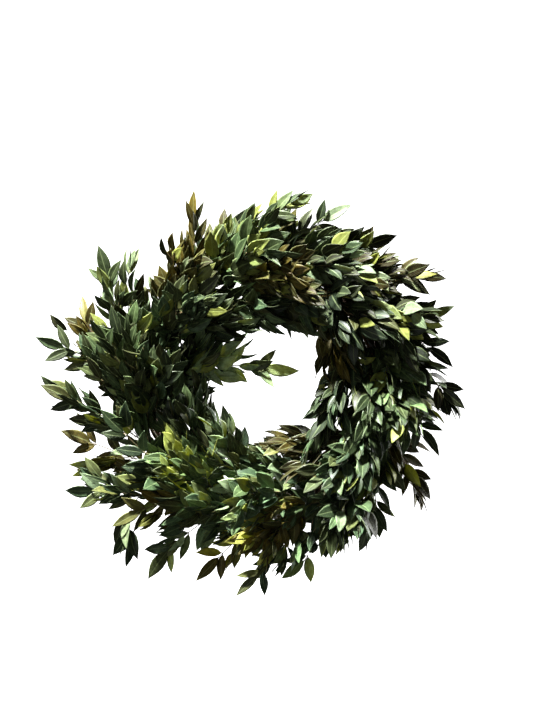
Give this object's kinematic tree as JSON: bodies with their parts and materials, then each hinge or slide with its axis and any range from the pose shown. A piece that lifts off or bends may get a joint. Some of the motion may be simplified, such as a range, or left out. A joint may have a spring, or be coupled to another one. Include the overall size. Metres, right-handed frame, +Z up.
{
  "type": "myrtle wreath",
  "caption": "Round wreath of leafy myrtle sprays that all sweep clockwise, tucked into a hidden ring of twisted vines, hung from inside its top.",
  "frame": {"origin": "The point inside the top of the vine ring where a hook, peg or nail carries the wreath.", "axes": "+Z up, the wreath hangs in the XZ plane, +X to the right as seen from the front, and the face looks along -Y. +Y points at the wall."},
  "size_m": [0.6171, 0.1431, 0.584],
  "materials": {
    "deep_foliage": "slightly glossy deep green leaf",
    "olive_foliage": "slightly glossy olive brown leaf",
    "light_foliage": "slightly glossy light green leaf",
    "vine_bark": "dry brown bark"
  },
  "bodies": {
    "root": {"front_spray_01": "light_foliage", "front_spray_02": "deep_foliage", "front_spray_03": "light_foliage", "front_spray_04": "light_foliage", "front_spray_05": "deep_foliage", "front_spray_06": "olive_foliage", "front_spray_07": "deep_foliage", "front_spray_08": "deep_foliage", "front_spray_09": "light_foliage", "front_spray_10": "olive_foliage", "hole_spray": "light_foliage", "inner_spray_01": "deep_foliage", "inner_spray_02": "deep_foliage", "inner_spray_03": "olive_foliage", "inner_spray_04": "deep_foliage", "inner_spray_05": "olive_foliage", "inner_spray_06": "deep_foliage", "inner_spray_07": "deep_foliage", "inner_spray_08": "deep_foliage", "inner_spray_09": "deep_foliage", "inner_spray_10": "deep_foliage", "middle_spray_01": "olive_foliage", "middle_spray_02": "deep_foliage", "middle_spray_03": "light_foliage", "middle_spray_04": "deep_foliage", "middle_spray_05": "deep_foliage", "middle_spray_06": "light_foliage", "middle_spray_07": "deep_foliage", "middle_spray_08": "deep_foliage", "outer_spray_01": "olive_foliage", "outer_spray_02": "deep_foliage", "outer_spray_03": "light_foliage", "outer_spray_04": "deep_foliage", "outer_spray_05": "deep_foliage", "outer_spray_06": "olive_foliage", "outer_spray_07": "deep_foliage", "outer_spray_08": "deep_foliage", "outer_spray_09": "deep_foliage", "outer_spray_10": "deep_foliage", "outer_spray_11": "olive_foliage", "outer_spray_12": "light_foliage", "outer_spray_13": "deep_foliage", "outer_spray_14": "deep_foliage", "outer_spray_15": "deep_foliage", "outer_spray_16": "olive_foliage", "outer_spray_17": "deep_foliage", "outer_spray_18": "olive_foliage", "outer_spray_19": "deep_foliage", "outer_spray_20": "olive_foliage", "outer_spray_21": "deep_foliage", "outer_spray_22": "deep_foliage", "outer_spray_23": "olive_foliage", "outer_spray_24": "light_foliage", "vine_1": "vine_bark", "vine_2": "vine_bark", "vine_3": "vine_bark"}
  },
  "joints": []
}
